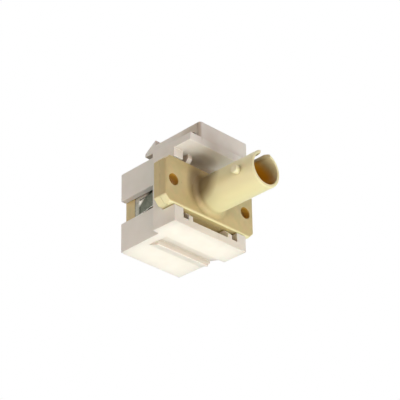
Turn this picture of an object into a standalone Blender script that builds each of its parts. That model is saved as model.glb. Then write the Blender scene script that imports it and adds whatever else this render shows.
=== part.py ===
"""Fibre adapter in a snap-in bezel: a bayonet barrel in front, a square socket behind.

+X runs along the flange, -Y is the barrel's side, +Z is up with the latch arm on top.
The origin is in the middle of the overall length and width, level with the lowest point.
"""
import math

import bmesh
import bpy

# Adapter body and flange
BODY_WIDTH = 0.0120
BODY_LENGTH = 0.0124
BODY_EDGE = 0.0003
FLANGE_WIDTH = 0.0219
FLANGE_HEIGHT = 0.0093
FLANGE_THICKNESS = 0.0029
FLANGE_CORNER = 0.00105
FLANGE_EDGE = 0.00028
SCREW_END_DISTANCE = 0.0020
SCREW_HOLE = 0.0022
SCREW_EDGE = 0.00012
WELD_SEAM = 0.00006

# Bayonet barrel
BARREL_DIAMETER = 0.00705
BARREL_BORE = 0.00585
BARREL_LENGTH = 0.01355
BARREL_FILLET = 0.0009
FILLET_STEP = 0.00012
BORE_FLOOR = 0.0002
RIM_ROUNDING = 0.0003
RIM_INNER_EDGE = 0.00008
LUG_DIAMETER = 0.0015
LUG_HEIGHT = 0.00075
LUG_EDGE = 0.00015
LUG_SETBACK = 0.0035
SLOT_WIDTH = 0.00146
SLOT_DEPTH = 0.0055
MOUTH_WIDTH = 0.0024
MOUTH_DEPTH = 0.0010

# Alignment sleeve and the tubes that hold it
SLEEVE_BORE = 0.0025
SLEEVE_WALL = 0.00035
SLEEVE_LENGTH = 0.0114
SLEEVE_SLIT = 0.00035
SLEEVE_PLAY = 0.0001
HOLDER_WALL = 0.0005
HOLDER_LIP = 0.0006
FERRULE_PLAY = 0.0001

# Square socket and its latch insert
SOCKET_WIDTH = 0.0091
SOCKET_HEIGHT = 0.0075
SOCKET_LEAD_IN = 0.0004
KEYWAY_WIDTH = 0.0024
KEYWAY_LENGTH = 0.0085
INSERT_PLATE = 0.0011
INSERT_LEDGE = 0.00045
INSERT_PLAY = 0.0001
HOOK_ARM_LENGTH = 0.0068
HOOK_ARM_THICKNESS = 0.0007
HOOK_ARM_HEIGHT = 0.0028
HOOK_ARM_GAP = 0.0003
HOOK_BARB = 0.0005
HOOK_BARB_LENGTH = 0.0013

# Spring steel clip
CLIP_THICKNESS = 0.0003
CLIP_PLAY = 0.0001
CLIP_LENGTH = 0.0074
CLIP_SIDE_HEIGHT = 0.0078
CLIP_BEND = 0.0005
TAB_HEIGHT = 0.0028
TAB_ROOT = 0.00115
TAB_SLOT = 0.00022
TAB_BEND = 0.003
TAB_END_GAP = 0.0002
TAB_SKIN = 0.00002
TAB_ANGLE = math.radians(9.5)

# Bezel housing
SIDE_WALL = 0.0011
BODY_PLAY = 0.0001
FLOOR_WALL = 0.0014
ROOF_WALL = 0.0014
POCKET_BELOW = 0.0020
POCKET_ABOVE = 0.0018
REAR_LENGTH = 0.0099
REAR_DRAFT = 0.00025
STEP_WIDTH = 0.00165
BULKHEAD = 0.0024
FLANGE_PLAY = 0.00015
POST_GAP = 0.0002
POST_WIDTH = 0.0022
WINDOW_BELOW = 0.0024
WINDOW_ABOVE = 0.00215
CLIP_RELIEF = 0.00015
SIDE_RAISE = 0.00012
RIB_WIDTH = 0.00105
RIB_SPACING = 0.0097
RIB_FRONT_HEIGHT = 0.0008
RIB_GAP = 0.0001
ROOF_OVERHANG = 0.00415
OVERHANG_DRAFT = 0.0002
REAR_RIB_INSET = 0.0006

# Latch arm on top and hook underneath
ARM_WIDTH = 0.0120
ARM_THICKNESS = 0.0016
ARM_GAP = 0.0020
ARM_TAPER = 0.00015
BEND_WALL = 0.0013
BEND_SETBACK = 0.00037
BEND_EDGE = 0.0002
BEND_CORNER = 0.0003
CORNER_SLIP = 0.00002
BEND_INNER = 0.0007
PANEL_GROOVE = 0.0021
CATCH_HEIGHT = 0.001
CATCH_LENGTH = 0.0028
CATCH_LAND = 0.0002
TAIL_THICKNESS = 0.0007
HOOK_DROP = 0.00065
HOOK_LENGTH = 0.0021
HOOK_LAND = 0.0002
HOOK_LEFT_MARGIN = 0.00155
HOOK_RIGHT_MARGIN = 0.0003
GROOVE_DEPTH = 0.0005

# Facets of round shapes
BARREL_STEPS = 64
TUBE_STEPS = 40
HOLE_STEPS = 32
LUG_STEPS = 24
ARC_STEPS = 6
BEND_STEPS = 4
RIM_STEPS = 3
EDGE_STEPS = 2

# How far a cutter or a joined shape runs past the face it crosses
PAST = 0.0005

# Planes and half widths that several pieces share
REAR_WIDTH = BODY_WIDTH + 2 * (BODY_PLAY + SIDE_WALL)
SEAT_WIDTH = REAR_WIDTH + 2 * REAR_DRAFT
FRONT_WIDTH = REAR_WIDTH + 2 * STEP_WIDTH
FRONT_LENGTH = BULKHEAD + FLANGE_PLAY + FLANGE_THICKNESS
SEAT_Y = (BARREL_LENGTH + FRONT_LENGTH - REAR_LENGTH) / 2
REAR_Y = SEAT_Y + REAR_LENGTH
FRONT_Y = SEAT_Y - FRONT_LENGTH
OVERHANG_Y = FRONT_Y - ROOF_OVERHANG
BULKHEAD_Y = SEAT_Y - BULKHEAD
FLANGE_REAR_Y = BULKHEAD_Y - FLANGE_PLAY
SEAM_Y = FLANGE_REAR_Y - FLANGE_THICKNESS / 2
BODY_REAR_Y = FLANGE_REAR_Y + BODY_LENGTH
CATCH_Y = SEAT_Y + PANEL_GROOVE
CLIP_SEAT_Y = SEAT_Y - CLIP_RELIEF
CLIP_FRONT_Y = CLIP_SEAT_Y + TAB_END_GAP
BASE_Z = HOOK_DROP
FLOOR_Z = BASE_Z + FLOOR_WALL
AXIS_Z = FLOOR_Z + POCKET_BELOW + FLANGE_HEIGHT / 2
CEILING_Z = AXIS_Z + FLANGE_HEIGHT / 2 + POCKET_ABOVE
ROOF_Z = CEILING_Z + ROOF_WALL
SIDE_Z = AXIS_Z + SIDE_RAISE
SLEEVE_RADIUS = SLEEVE_BORE / 2 + SLEEVE_WALL
HOLDER_BORE = SLEEVE_RADIUS + SLEEVE_PLAY
HOLDER_RADIUS = HOLDER_BORE + HOLDER_WALL
FERRULE_HOLE = SLEEVE_BORE / 2 + FERRULE_PLAY
HOLDER_REACH = SLEEVE_LENGTH / 2 + SLEEVE_PLAY + HOLDER_LIP
CLIP_RECESS = CLIP_THICKNESS + CLIP_PLAY
SCREW_X = FLANGE_WIDTH / 2 - SCREW_END_DISTANCE

QUARTER = math.pi / 2
ALONG_X = (QUARTER, 0, QUARTER)
ALONG_Y = (QUARTER, 0, 0)
ALONG_Z = (0, 0, 0)
FORWARDS = ALONG_Y
BACKWARDS = (-QUARTER, 0, 0)


def clear_scene():
    for item in list(bpy.data.objects):
        bpy.data.objects.remove(item, do_unlink=True)


def new_collection(name):
    collection = bpy.data.collections.new(name)
    bpy.context.scene.collection.children.link(collection)
    return collection


def plastic(name, colour, roughness):
    return surface(name, colour, roughness, 0.0)


def surface(name, colour, roughness, metallic):
    material = bpy.data.materials.new(name)
    material.use_nodes = True
    shader = material.node_tree.nodes["Principled BSDF"]
    shader.inputs["Base Color"].default_value = (*colour, 1.0)
    shader.inputs["Roughness"].default_value = roughness
    shader.inputs["Metallic"].default_value = metallic
    material.diffuse_color = (*colour, 1.0)
    return material


def place(name, mesh, location, rotation=ALONG_Z):
    item = bpy.data.objects.new(name, mesh)
    item.location = location
    item.rotation_euler = rotation
    cutters.objects.link(item)
    item.hide_render = True
    item.display_type = "WIRE"
    return item


def box(name, x_range, y_range, z_range):
    ranges = (x_range, y_range, z_range)
    middle = [(low + high) / 2 for low, high in ranges]
    size = [high - low for low, high in ranges]
    shape = bmesh.new()
    bmesh.ops.create_cube(shape, size=1.0)
    bmesh.ops.scale(shape, vec=size, verts=shape.verts)
    mesh = bpy.data.meshes.new(name)
    shape.to_mesh(mesh)
    shape.free()
    return place(name, mesh, middle)


def rod(name, radius, length, centre, rotation, steps, edge=0.0):
    shape = bmesh.new()
    bmesh.ops.create_cone(
        shape, cap_ends=True, segments=steps, radius1=radius, radius2=radius, depth=length
    )
    if edge > 0:
        rims = [e for e in shape.edges if abs(e.verts[0].co.z - e.verts[1].co.z) < length / 2]
        bmesh.ops.bevel(shape, geom=rims, offset=edge, segments=EDGE_STEPS, affect="EDGES", profile=0.5)
    mesh = bpy.data.meshes.new(name)
    shape.to_mesh(mesh)
    shape.free()
    return place(name, mesh, centre, rotation)


def outline_solid(name, points, thickness, centre, rotation):
    """A flat outline given its thickness, half on each side of its plane, as a closed mesh."""
    curve = bpy.data.curves.new(name, "CURVE")
    curve.dimensions = "2D"
    curve.fill_mode = "BOTH"
    curve.extrude = thickness / 2
    spline = curve.splines.new("POLY")
    spline.points.add(len(points) - 1)
    for point, (across, up) in zip(spline.points, points):
        point.co = (across, up, 0, 1)
    spline.use_cyclic_u = True
    drawn = bpy.data.objects.new(name, curve)
    cutters.objects.link(drawn)
    drawn.location = centre
    drawn.rotation_euler = rotation
    bpy.context.view_layer.update()
    graph = bpy.context.evaluated_depsgraph_get()
    mesh = bpy.data.meshes.new_from_object(drawn.evaluated_get(graph))
    weld(mesh)
    solid = place(name, mesh, (0, 0, 0))
    solid.matrix_world = drawn.matrix_world.copy()
    bpy.data.objects.remove(drawn)
    return solid


def weld(mesh):
    shape = bmesh.new()
    shape.from_mesh(mesh)
    bmesh.ops.remove_doubles(shape, verts=shape.verts, dist=1e-7)
    bmesh.ops.recalc_face_normals(shape, faces=shape.faces)
    shape.to_mesh(mesh)
    shape.free()


def turned(name, profile, centre, rotation, steps):
    """A profile of (radius, height) points, top to bottom down its outer side, spun about Z."""
    mesh = bpy.data.meshes.new(name)
    points = [(radius, 0, height) for radius, height in profile]
    edges = [(i, i + 1) for i in range(len(points) - 1)]
    mesh.from_pydata(points, edges, [])
    item = place(name, mesh, centre, rotation)
    screw = item.modifiers.new("Spin", "SCREW")
    screw.steps = steps
    screw.render_steps = steps
    screw.use_merge_vertices = True
    screw.merge_threshold = 1e-6
    return item


def arc(centre, radius, start, end, steps=ARC_STEPS):
    """Points from start to end angle, in degrees, round a centre."""
    points = []
    for i in range(steps + 1):
        angle = math.radians(start + (end - start) * i / steps)
        points.append((centre[0] + radius * math.cos(angle), centre[1] + radius * math.sin(angle)))
    return points


def rounded_rectangle(width, height, radius, steps=ARC_STEPS):
    across = width / 2 - radius
    up = height / 2 - radius
    points = arc((across, up), radius, 0, 90, steps)
    points += arc((-across, up), radius, 90, 180, steps)
    points += arc((-across, -up), radius, 180, 270, steps)
    points += arc((across, -up), radius, 270, 360, steps)
    return points


def combine(target, other, operation):
    modifier = target.modifiers.new(other.name, "BOOLEAN")
    modifier.operation = operation
    modifier.solver = "EXACT"
    modifier.object = other


def join(target, *others):
    for other in others:
        combine(target, other, "UNION")


def cut(target, *others):
    for other in others:
        combine(target, other, "DIFFERENCE")


def finish(item, name, material, smooth_angle=30):
    """Turns a working solid into the named piece, with its material and its shading."""
    item.name = name
    item.data.name = name
    cutters.objects.unlink(item)
    parts.objects.link(item)
    item.hide_render = False
    item.display_type = "TEXTURED"
    item.data.materials.clear()
    item.data.materials.append(material)
    item.data.shade_smooth()
    item.data.set_sharp_from_angle(angle=math.radians(smooth_angle))
    bpy.context.view_layer.update()
    placed = item.matrix_world.copy()
    item.parent = assembly
    item.matrix_world = placed
    return item


def housing_shell():
    """The block of the bezel seen from above: a tapered rear, a wider front and the overhang."""
    rear = REAR_WIDTH / 2
    seat = SEAT_WIDTH / 2
    front = FRONT_WIDTH / 2
    plan = [
        (-front, OVERHANG_Y - PAST),
        (front, OVERHANG_Y - PAST),
        (front, SEAT_Y),
        (seat, SEAT_Y),
        (rear, REAR_Y),
        (-rear, REAR_Y),
        (-seat, SEAT_Y),
        (-front, SEAT_Y),
    ]
    height = ROOF_Z - BASE_Z
    return outline_solid("housing_shell", plan, height, (0, 0, (ROOF_Z + BASE_Z) / 2), ALONG_Z)


def overhang_front():
    """Trims the roof's front face to a slope that comes forward as it rises."""
    slope = OVERHANG_DRAFT / ROOF_WALL
    ahead = OVERHANG_Y - 2 * PAST
    side = [
        (ahead, ROOF_Z + PAST),
        (OVERHANG_Y - slope * PAST, ROOF_Z + PAST),
        (OVERHANG_Y + OVERHANG_DRAFT + slope * PAST, CEILING_Z - PAST),
        (ahead, CEILING_Z - PAST),
    ]
    return outline_solid("overhang_front", side, FRONT_WIDTH + 2 * PAST, (0, 0, 0), ALONG_X)


def bend_corner(name, side):
    """What is taken off an upright front corner of the latch to round it."""
    reach = BEND_CORNER + CORNER_SLIP
    middle = (ARM_WIDTH / 2 - BEND_CORNER, OVERHANG_Y + BEND_SETBACK + BEND_CORNER)
    plan = arc(middle, reach, 270, 360, BEND_STEPS)
    plan += [
        (middle[0] + reach + PAST, middle[1]),
        (middle[0] + reach + PAST, middle[1] - reach - PAST),
        (middle[0], middle[1] - reach - PAST),
    ]
    plan = [(side * across, along) for across, along in plan]
    height = ARM_GAP + ARM_THICKNESS + 4 * PAST
    return outline_solid(name, plan, height, (0, 0, ROOF_Z + height / 2 - 2 * PAST), ALONG_Z)


def latch_arm():
    """Side view of the bent latch: a wall up from the roof, a tapered arm back, a wedge at its end."""
    front = OVERHANG_Y + BEND_SETBACK
    inside = front + BEND_WALL
    under = ROOF_Z + ARM_GAP
    top_front = under + ARM_THICKNESS
    top_rear = top_front - ARM_TAPER
    crest = top_rear + CATCH_HEIGHT
    tail = CATCH_Y + CATCH_LENGTH
    side = [(front, ROOF_Z - PAST)]
    side += arc((front + BEND_EDGE, top_front - BEND_EDGE), BEND_EDGE, 180, 90)
    side += [
        (CATCH_Y, top_rear),
        (CATCH_Y, crest),
        (CATCH_Y + CATCH_LAND, crest),
        (tail, under + TAIL_THICKNESS),
        (tail, under),
    ]
    side += arc((inside + BEND_INNER, under - BEND_INNER), BEND_INNER, 90, 180)
    side += [(inside, ROOF_Z - PAST)]
    arm = outline_solid("latch_arm", side, ARM_WIDTH, (0, 0, 0), ALONG_X)
    cut(arm, bend_corner("bend_corner_left", -1), bend_corner("bend_corner_right", 1))
    return arm


def bottom_hook():
    """Wedge under the rear: it drops behind the panel's edge and ramps up to the rear."""
    left = -REAR_WIDTH / 2 + HOOK_LEFT_MARGIN
    right = REAR_WIDTH / 2 - HOOK_RIGHT_MARGIN
    side = [
        (CATCH_Y, BASE_Z + GROOVE_DEPTH + PAST),
        (CATCH_Y, BASE_Z - HOOK_DROP),
        (CATCH_Y + HOOK_LAND, BASE_Z - HOOK_DROP),
        (CATCH_Y + HOOK_LENGTH, BASE_Z),
        (CATCH_Y + HOOK_LENGTH, BASE_Z + GROOVE_DEPTH + PAST),
    ]
    return outline_solid("bottom_hook", side, right - left, ((left + right) / 2, 0, 0), ALONG_X)


def panel_groove():
    """Shallow wedge cut in front of the hook, out through the right side."""
    left = -REAR_WIDTH / 2 + HOOK_LEFT_MARGIN
    right = REAR_WIDTH / 2 + PAST
    side = [
        (SEAT_Y, BASE_Z),
        (CATCH_Y, BASE_Z + GROOVE_DEPTH),
        (CATCH_Y, BASE_Z - PAST),
        (SEAT_Y, BASE_Z - PAST),
    ]
    return outline_solid("panel_groove", side, right - left, ((left + right) / 2, 0, 0), ALONG_X)


def housing_cuts():
    """What is open: under the overhang, the cavity, the pockets, the flange's passage, the windows.

    The relief sinks the faces that the clip's tabs bear on below the shoulders beside them.
    """
    cavity = BODY_WIDTH / 2 + BODY_PLAY
    opening = FLANGE_HEIGHT / 2 + BODY_PLAY
    pocket = FRONT_WIDTH / 2 - POST_WIDTH
    passage = FLANGE_HEIGHT / 2 + POST_GAP
    wide = FRONT_WIDTH / 2 + PAST
    window = (SIDE_Z - WINDOW_BELOW, SIDE_Z + WINDOW_ABOVE)
    seat = SEAT_WIDTH / 2
    ahead = OVERHANG_Y - 2 * PAST
    return [
        box("under_overhang", (-wide, wide), (ahead, FRONT_Y), (BASE_Z - PAST, CEILING_Z)),
        box("rear_cavity", (-cavity, cavity), (SEAT_Y, REAR_Y + PAST), (FLOOR_Z, CEILING_Z)),
        box(
            "body_opening",
            (-cavity, cavity),
            (BULKHEAD_Y - PAST, SEAT_Y + PAST),
            (AXIS_Z - opening, AXIS_Z + opening),
        ),
        box("front_pocket", (-pocket, pocket), (FRONT_Y - PAST, BULKHEAD_Y), (FLOOR_Z, CEILING_Z)),
        box(
            "flange_passage",
            (-wide, wide),
            (FRONT_Y - PAST, BULKHEAD_Y),
            (AXIS_Z - passage, AXIS_Z + passage),
        ),
        box("side_windows", (-wide, wide), (SEAT_Y, REAR_Y + PAST), window),
        box("clip_relief", (-seat, seat), (CLIP_SEAT_Y, SEAT_Y + PAST), window),
    ]


def front_rib(name, x_middle, wall_z, body_z):
    """A rib from a pocket's wall towards the flange, cut back at 45 degrees in front."""
    into_wall = math.copysign(PAST, wall_z - body_z)
    rise = math.copysign(RIB_FRONT_HEIGHT, body_z - wall_z)
    slope = abs(body_z - wall_z) - RIB_FRONT_HEIGHT
    side = [
        (FRONT_Y, wall_z + into_wall),
        (FRONT_Y, wall_z + rise),
        (FRONT_Y + slope, body_z),
        (BULKHEAD_Y + PAST, body_z),
        (BULKHEAD_Y + PAST, wall_z + into_wall),
    ]
    return outline_solid(name, side, RIB_WIDTH, (x_middle, 0, 0), ALONG_X)


def rear_rib(name, x_middle, wall_z, body_z):
    into_wall = math.copysign(PAST, wall_z - body_z)
    heights = sorted((wall_z + into_wall, body_z))
    return box(
        name,
        (x_middle - RIB_WIDTH / 2, x_middle + RIB_WIDTH / 2),
        (SEAT_Y - PAST, REAR_Y - REAR_RIB_INSET),
        heights,
    )


def housing_ribs():
    """Four ribs in front carry the flange and four behind carry the body."""
    ribs = []
    for side in (-1, 1):
        for above in (-1, 1):
            wall_z = CEILING_Z if above > 0 else FLOOR_Z
            flange_z = AXIS_Z + above * (FLANGE_HEIGHT / 2 + POST_GAP)
            body_z = AXIS_Z + above * (FLANGE_HEIGHT / 2 + RIB_GAP)
            x_middle = side * RIB_SPACING / 2
            tag = f"{side:+d}{above:+d}"
            ribs.append(front_rib("front_rib" + tag, x_middle, wall_z, flange_z))
            ribs.append(rear_rib("rear_rib" + tag, x_middle, wall_z, body_z))
    return ribs


def make_bezel_housing(material):
    housing = housing_shell()
    cut(housing, overhang_front())
    join(housing, latch_arm())
    cut(housing, panel_groove())
    join(housing, bottom_hook())
    cut(housing, *housing_cuts())
    join(housing, *housing_ribs())
    return finish(housing, "bezel_housing", material)


def flange_plate(name, front_y, rear_y):
    """Half of the flange, its corners cut at 45 degrees."""
    corners = []
    for across, up in ((1, 1), (-1, 1), (-1, -1), (1, -1)):
        level = (across * (FLANGE_WIDTH / 2 - FLANGE_CORNER), up * FLANGE_HEIGHT / 2)
        upright = (across * FLANGE_WIDTH / 2, up * (FLANGE_HEIGHT / 2 - FLANGE_CORNER))
        corners += [upright, level] if across == up else [level, upright]
    thickness = rear_y - front_y
    middle = (0, (front_y + rear_y) / 2, AXIS_Z)
    return outline_solid(name, corners, thickness, middle, ALONG_Y)


def round_front_rim(plate):
    """Rounds the edges round the front face of a plate, whose local Z points to the front."""
    shape = bmesh.new()
    shape.from_mesh(plate.data)
    front = max(v.co.z for v in shape.verts)
    rim = [e for e in shape.edges if all(v.co.z > front - PAST for v in e.verts)]
    bmesh.ops.bevel(shape, geom=rim, offset=FLANGE_EDGE, segments=EDGE_STEPS, affect="EDGES", profile=0.5)
    shape.to_mesh(plate.data)
    shape.free()


def screw_hole(name, side, face_y, outwards):
    """A hole from the flange's outer face to past the seam, with its rim cut at 45 degrees."""
    radius = SCREW_HOLE / 2
    depth = FLANGE_THICKNESS / 2 + PAST
    profile = [
        (0, PAST),
        (radius + SCREW_EDGE + PAST, PAST),
        (radius, -SCREW_EDGE),
        (radius, -depth),
        (0, -depth),
    ]
    return turned(name, profile, (side * SCREW_X, face_y, AXIS_Z), outwards, HOLE_STEPS)


def turned_barrel():
    """The sleeve's tube, the bore round it, the rim, the outside, and the fillet on its low step."""
    radius = BARREL_DIAMETER / 2
    bore = BARREL_BORE / 2
    foot = radius + BARREL_FILLET
    tube_tip = HOLDER_REACH - (SEAM_Y - FRONT_Y)
    profile = [
        (0, tube_tip),
        (HOLDER_RADIUS, tube_tip),
        (HOLDER_RADIUS, BORE_FLOOR),
        (bore, BORE_FLOOR),
        (bore, BARREL_LENGTH - RIM_INNER_EDGE),
        (bore + RIM_INNER_EDGE, BARREL_LENGTH),
    ]
    rim = (radius - RIM_ROUNDING, BARREL_LENGTH - RIM_ROUNDING)
    profile += arc(rim, RIM_ROUNDING, 90, 0, RIM_STEPS)
    profile += arc((foot, BARREL_FILLET + FILLET_STEP), BARREL_FILLET, 180, 270)
    profile += [(foot, -PAST), (0, -PAST)]
    return turned("turned_barrel", profile, (0, FRONT_Y, AXIS_Z), FORWARDS, BARREL_STEPS)


def sleeve_seat(name, rotation):
    """The bore for the sleeve from the seam outwards, with a lip that keeps it in."""
    lip = HOLDER_REACH - HOLDER_LIP
    profile = [
        (0, HOLDER_REACH + PAST),
        (FERRULE_HOLE + PAST, HOLDER_REACH + PAST),
        (FERRULE_HOLE, HOLDER_REACH - HOLDER_LIP / 2),
        (FERRULE_HOLE, lip),
        (HOLDER_BORE, lip),
        (HOLDER_BORE, -PAST - FLANGE_THICKNESS / 2),
        (0, -PAST - FLANGE_THICKNESS / 2),
    ]
    return turned(name, profile, (0, SEAM_Y, AXIS_Z), rotation, TUBE_STEPS)


def key_slot():
    """The slot through the top of the barrel, flared at its mouth."""
    tip = FRONT_Y - BARREL_LENGTH
    half = SLOT_WIDTH / 2
    mouth = MOUTH_WIDTH / 2
    flare = (mouth - half) / MOUTH_DEPTH * PAST
    plan = [
        (-mouth - flare, tip - PAST),
        (mouth + flare, tip - PAST),
        (half, tip + MOUTH_DEPTH),
    ]
    plan += arc((0, tip + SLOT_DEPTH - half), half, 0, 180)
    plan += [(-half, tip + MOUTH_DEPTH)]
    height = BARREL_DIAMETER / 2
    return outline_solid("key_slot", plan, height, (0, 0, AXIS_Z + height), ALONG_Z)


def bayonet_lug(name, side):
    foot = BARREL_BORE / 2 + (BARREL_DIAMETER - BARREL_BORE) / 4
    tip = BARREL_DIAMETER / 2 + LUG_HEIGHT
    length = tip - foot
    centre = (side * (foot + length / 2), FRONT_Y - BARREL_LENGTH + LUG_SETBACK, AXIS_Z)
    return rod(name, LUG_DIAMETER / 2, length, centre, (0, QUARTER, 0), LUG_STEPS, LUG_EDGE)


def make_front_half(material):
    half = flange_plate("front_plate", FRONT_Y, SEAM_Y - WELD_SEAM / 2)
    round_front_rim(half)
    join(half, turned_barrel())
    cut(half, sleeve_seat("front_sleeve_seat", FORWARDS), key_slot())
    join(half, bayonet_lug("lug_left", -1), bayonet_lug("lug_right", 1))
    for tag, side in (("left", -1), ("right", 1)):
        cut(half, screw_hole("front_hole_" + tag, side, FRONT_Y, FORWARDS))
    return finish(half, "adapter_front_half", material)


def socket_body():
    outline = rounded_rectangle(BODY_WIDTH, FLANGE_HEIGHT, BODY_EDGE, EDGE_STEPS)
    length = BODY_LENGTH + PAST
    middle = (0, FLANGE_REAR_Y - PAST + length / 2, AXIS_Z)
    return outline_solid("socket_body", outline, length, middle, ALONG_Y)


def socket_hollow():
    """The plug's opening, with a lead-in at its mouth and a wider seat for the insert's plate."""
    plate_front = SEAM_Y - PAST
    plate_rear = SEAM_Y + INSERT_PLATE + INSERT_PLAY
    wide = SOCKET_WIDTH / 2 + INSERT_LEDGE
    tall = SOCKET_HEIGHT / 2 + INSERT_LEDGE
    width = SOCKET_WIDTH / 2
    height = SOCKET_HEIGHT / 2
    return [
        box(
            "plug_opening",
            (-width, width),
            (plate_front, BODY_REAR_Y + PAST),
            (AXIS_Z - height, AXIS_Z + height),
        ),
        box("plate_seat", (-wide, wide), (plate_front, plate_rear), (AXIS_Z - tall, AXIS_Z + tall)),
    ]


def socket_mouth():
    """A four-sided funnel that bevels the inside edges of the plug's opening."""
    depth = SOCKET_LEAD_IN + PAST
    shape = bmesh.new()
    bmesh.ops.create_cube(shape, size=1.0)
    for vert in shape.verts:
        grown = depth if vert.co.y > 0 else 0.0
        vert.co.x = math.copysign(SOCKET_WIDTH / 2 + grown, vert.co.x)
        vert.co.z = math.copysign(SOCKET_HEIGHT / 2 + grown, vert.co.z)
        vert.co.y *= depth
    mesh = bpy.data.meshes.new("socket_mouth")
    shape.to_mesh(mesh)
    shape.free()
    return place("socket_mouth", mesh, (0, BODY_REAR_Y + PAST - depth / 2, AXIS_Z))


def keyway():
    half = KEYWAY_WIDTH / 2
    top = AXIS_Z + FLANGE_HEIGHT / 2 + PAST
    return box(
        "keyway", (-half, half), (BODY_REAR_Y - KEYWAY_LENGTH, BODY_REAR_Y + PAST), (AXIS_Z, top)
    )


def clip_recess():
    """The step in the body's sides and underside in which the clip lies."""
    front = CLIP_FRONT_Y - CLIP_PLAY
    rear = CLIP_FRONT_Y + CLIP_LENGTH + CLIP_PLAY
    inner = BODY_WIDTH / 2 - CLIP_RECESS
    outer = BODY_WIDTH / 2 + PAST
    top = SIDE_Z + CLIP_SIDE_HEIGHT / 2 + CLIP_PLAY
    under = AXIS_Z - FLANGE_HEIGHT / 2
    return [
        box("recess_left", (-outer, -inner), (front, rear), (under - PAST, top)),
        box("recess_right", (inner, outer), (front, rear), (under - PAST, top)),
        box("recess_below", (-outer, outer), (front, rear), (under - PAST, under + CLIP_RECESS)),
    ]


def make_rear_half(material):
    half = flange_plate("rear_plate", SEAM_Y + WELD_SEAM / 2, FLANGE_REAR_Y)
    join(half, socket_body())
    cut(half, *clip_recess())
    cut(half, *socket_hollow(), socket_mouth(), keyway())
    for tag, side in (("left", -1), ("right", 1)):
        cut(half, screw_hole("rear_hole_" + tag, side, FLANGE_REAR_Y, BACKWARDS))
    return finish(half, "adapter_rear_half", material)


def hook_arm(name, side):
    """A latch arm of the insert, seen from above, with a barb on its inner face."""
    outer = SOCKET_WIDTH / 2 - HOOK_ARM_GAP
    inner = outer - HOOK_ARM_THICKNESS
    root = SEAM_Y + INSERT_PLATE / 2
    tip = SEAM_Y + INSERT_PLATE + HOOK_ARM_LENGTH
    plan = [
        (side * outer, root),
        (side * outer, tip),
        (side * inner, tip),
        (side * (inner - HOOK_BARB), tip - HOOK_BARB),
        (side * (inner - HOOK_BARB), tip - HOOK_BARB_LENGTH),
        (side * inner, tip - HOOK_BARB_LENGTH),
        (side * inner, root),
    ]
    return outline_solid(name, plan, HOOK_ARM_HEIGHT, (0, 0, AXIS_Z), ALONG_Z)


def make_latch_insert(material):
    wide = SOCKET_WIDTH + 2 * (INSERT_LEDGE - INSERT_PLAY)
    tall = SOCKET_HEIGHT + 2 * (INSERT_LEDGE - INSERT_PLAY)
    front = SEAM_Y + INSERT_PLAY
    rear = SEAM_Y + INSERT_PLATE
    insert = box(
        "insert_plate", (-wide / 2, wide / 2), (front, rear), (AXIS_Z - tall / 2, AXIS_Z + tall / 2)
    )
    reach = HOLDER_REACH - INSERT_PLATE / 2
    middle = (0, SEAM_Y + INSERT_PLATE / 2 + reach / 2, AXIS_Z)
    join(insert, rod("insert_tube", HOLDER_RADIUS, reach, middle, ALONG_Y, TUBE_STEPS))
    join(insert, hook_arm("hook_arm_left", -1), hook_arm("hook_arm_right", 1))
    cut(insert, sleeve_seat("rear_sleeve_seat", BACKWARDS))
    return finish(insert, "sc_latch_insert", material)


def make_alignment_sleeve(material):
    """A split tube: the ring's outline is open at the slit."""
    inner = SLEEVE_BORE / 2
    half_slit = math.degrees(math.asin(SLEEVE_SLIT / 2 / inner))
    start = 90 + half_slit
    end = 450 - half_slit
    outline = arc((0, 0), SLEEVE_RADIUS, start, end, TUBE_STEPS)
    outline += arc((0, 0), inner, end, start, TUBE_STEPS)
    sleeve = outline_solid("sleeve", outline, SLEEVE_LENGTH, (0, SEAM_Y, AXIS_Z), ALONG_Y)
    return finish(sleeve, "alignment_sleeve", material)


def clip_band():
    """The clip's section across the body: a channel with round bends, open at the top."""
    outer = BODY_WIDTH / 2
    inner = outer - CLIP_THICKNESS
    bottom = -FLANGE_HEIGHT / 2
    top = SIDE_RAISE + CLIP_SIDE_HEIGHT / 2
    bend = CLIP_BEND
    small = CLIP_BEND - CLIP_THICKNESS
    section = [(-outer, top)]
    section += arc((-outer + bend, bottom + bend), bend, 180, 270, BEND_STEPS)
    section += arc((outer - bend, bottom + bend), bend, 270, 360, BEND_STEPS)
    section += [(outer, top), (inner, top)]
    section += arc((outer - bend, bottom + bend), small, 360, 270, BEND_STEPS)
    section += arc((-outer + bend, bottom + bend), small, 270, 180, BEND_STEPS)
    section += [(-inner, top)]
    middle = (0, CLIP_FRONT_Y + CLIP_LENGTH / 2, AXIS_Z)
    return outline_solid("clip_band", section, CLIP_LENGTH, middle, ALONG_Y)


def tab_window(name, side):
    """The slot stamped round three sides of a tab."""
    inner = BODY_WIDTH / 2 - CLIP_THICKNESS - PAST
    outer = BODY_WIDTH / 2 + PAST
    x_range = sorted((side * inner, side * outer))
    root = CLIP_FRONT_Y + CLIP_LENGTH - TAB_ROOT
    half = TAB_HEIGHT / 2 + TAB_SLOT
    return box(name, x_range, (CLIP_FRONT_Y - PAST, root), (SIDE_Z - half, SIDE_Z + half))


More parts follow.
